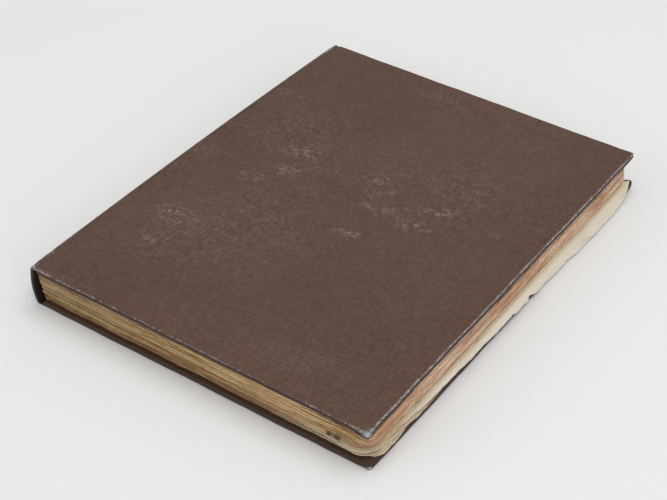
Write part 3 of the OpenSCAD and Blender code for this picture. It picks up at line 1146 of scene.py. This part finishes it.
def lip_point(y, t):
    """The drooping lip's middle surface: t 0 inside the album, 1 at its free edge."""
    end_x = np.interp(y, LIP_Y, LIP_X) + 0.6 * SHEET_EDGE(y)
    end_z = np.interp(y, LIP_Y, LIP_Z) - 0.3 * SHEET_EDGE(y)
    reach = np.clip((y - 38) / 20, 0, 1)
    far = np.clip((y - 335) / 36, 0, 1)
    knots = [
        (LIP_START, y, SHEET_BASE), (283.6 + 1.2 * reach, y + far, SHEET_BASE + 0.4 * reach),
        (284.2 + reach, y + 4 * far, SHEET_BASE - 0.9 * reach + 1.5 * far),
        (end_x, y + 7.5 * far, end_z),
    ]
    weights = [(1 - t) ** 3, 3 * t * (1 - t) ** 2, 3 * t * t * (1 - t), t ** 3]
    return [sum(w * knot[axis] for w, knot in zip(weights, knots)) for axis in range(3)]


def loose_sheet():
    """A thin sheet between the leaves: flat inside, with a lip that droops over
    the fore-edge and frays."""
    flat_us = np.arange(sheet_low[0], LIP_START - 4, 8.0)
    us = np.concatenate([flat_us, LIP_START + np.linspace(0, 1, 26) * LIP_LENGTH])
    ys = stops(sheet_low[1], sheet_high[1], 1.2)
    buckle = ripple(93, (120, 0.2), (45, 0.15))

    def middle(u, y):
        t = np.clip((u - LIP_START) / LIP_LENGTH, 0, 1) * (1 - np.interp(y, CUT_Y, CUT_SHARE))
        px, py, pz = lip_point(y, t)
        return np.where(t > 0, px, u), np.where(t > 0, py, y), np.where(t > 0, pz, SHEET_BASE)

    def shape(u, y, t):
        px, py, pz = middle(u, y)
        ahead_x, _, ahead_z = middle(u + 0.05, y)
        behind_x, _, behind_z = middle(u - 0.05, y)
        slope = np.stack([ahead_x - behind_x, ahead_z - behind_z], 1)
        slope /= np.linalg.norm(slope, axis=1)[:, None] + 1e-12
        off = (t - 0.5) * SHEET_T
        wave = buckle(y) * bump(LIP_START + LIP_LENGTH - u, LIP_LENGTH - 2)
        return np.stack([px - slope[:, 1] * off + wave, py, pz + slope[:, 0] * off], 1)

    points, faces, _ = lattice(us, ys, shape)
    shade = 0.5 * bump(points[:, 2] - SHEET_BASE, 1.6) * (points[:, 0] > LIP_START)
    return make("loose_sheet_paper", points, faces, LOOSE, {"shade": shade}, 60)


LOBE_ROOT = 0.35
LOBE_LOW, LOBE_HIGH = 254, 311


def torn_lobe():
    """A second layer that shows under the sheet where its edge is torn away."""
    us = np.linspace(LOBE_ROOT, 0.99, 12)
    ys = np.arange(LOBE_LOW, LOBE_HIGH + 1, 1.5)

    def shape(u, y, t):
        ends = np.clip(np.minimum(y - LOBE_LOW, LOBE_HIGH - y) / 9, 0.05, 1) ** 0.5
        px, py, pz = lip_point(y, LOBE_ROOT + (u - LOBE_ROOT) * ends)
        return np.stack([px - 0.45 + 0.12 * t, py, pz - 0.55 + 0.16 * t], 1)

    points, faces, _ = lattice(us, ys, shape)
    return make("loose_sheet_lobe", points, faces, LOOSE, {"shade": 0.5}, 60)


sheet = place(loose_sheet(), "loose_sheet", "loose_paper", "loose_sheet")
place(torn_lobe(), "loose_sheet", "loose_paper")

# ---- floor, light and camera

bpy.ops.mesh.primitive_plane_add(size=12, location=(0, 0, 0))
floor = bpy.context.object
floor.name = "floor"
ground = bpy.data.materials.new("floor_paper")
ground.use_nodes = True
ground_inputs = ground.node_tree.nodes["Principled BSDF"].inputs
ground_inputs["Base Color"].default_value = (*srgb(236, 236, 235), 1)
ground_inputs["Roughness"].default_value = 0.9
ground_inputs["Specular IOR Level"].default_value = 0.1
floor.data.materials.append(ground)


def area_light(name, at, look_at, size, power):
    data = bpy.data.lights.new(name, "AREA")
    data.shape = "RECTANGLE"
    data.size, data.size_y = size
    data.energy = power
    lamp = new_object(name, data)
    lamp.location = at
    lamp.rotation_euler = (Vector(look_at) - Vector(at)).to_track_quat("-Z", "Y").to_euler()


area_light("overhead", (0.15, 0.3, 1.9), (0, 0, 0), (1.6, 1.6), 13)
area_light("right_fill", (1.5, -1.1, 0.8), (0.1, 0, 0), (1.2, 0.9), 6)
area_light("left_fill", (-1.0, -1.6, 0.7), (0, 0, 0), (1.2, 0.9), 4)

world = bpy.data.worlds.new("studio")
world.use_nodes = True
sky_inputs = world.node_tree.nodes["Background"].inputs
sky_inputs["Color"].default_value = (1, 1, 1, 1)
sky_inputs["Strength"].default_value = 0.62
scene = bpy.context.scene
scene.world = world
scene.view_settings.view_transform = "Standard"

# The photograph's viewpoint: angles in degrees, distance and target in metres
AZIMUTH, ELEVATION, ROLL = (math.radians(a) for a in (33.63, 38.07, 1.32))
DISTANCE = 1.1418
TARGET = Vector((-0.0040, -0.0155, 0))
back_axis = Vector((
    math.sin(AZIMUTH) * math.cos(ELEVATION), -math.cos(AZIMUTH) * math.cos(ELEVATION),
    math.sin(ELEVATION),
))
right_axis = Vector((math.cos(AZIMUTH), math.sin(AZIMUTH), 0))
up_axis = back_axis.cross(right_axis)
rolled_right = right_axis * math.cos(ROLL) + up_axis * math.sin(ROLL)
rolled_up = up_axis * math.cos(ROLL) - right_axis * math.sin(ROLL)
lens = bpy.data.cameras.new("photo_camera")
lens.lens = 82.05
camera = new_object("photo_camera", lens)
turn = Matrix((rolled_right, rolled_up, back_axis)).transposed()
camera.matrix_world = Matrix.Translation(TARGET + back_axis * DISTANCE) @ turn.to_4x4()
scene.camera = camera
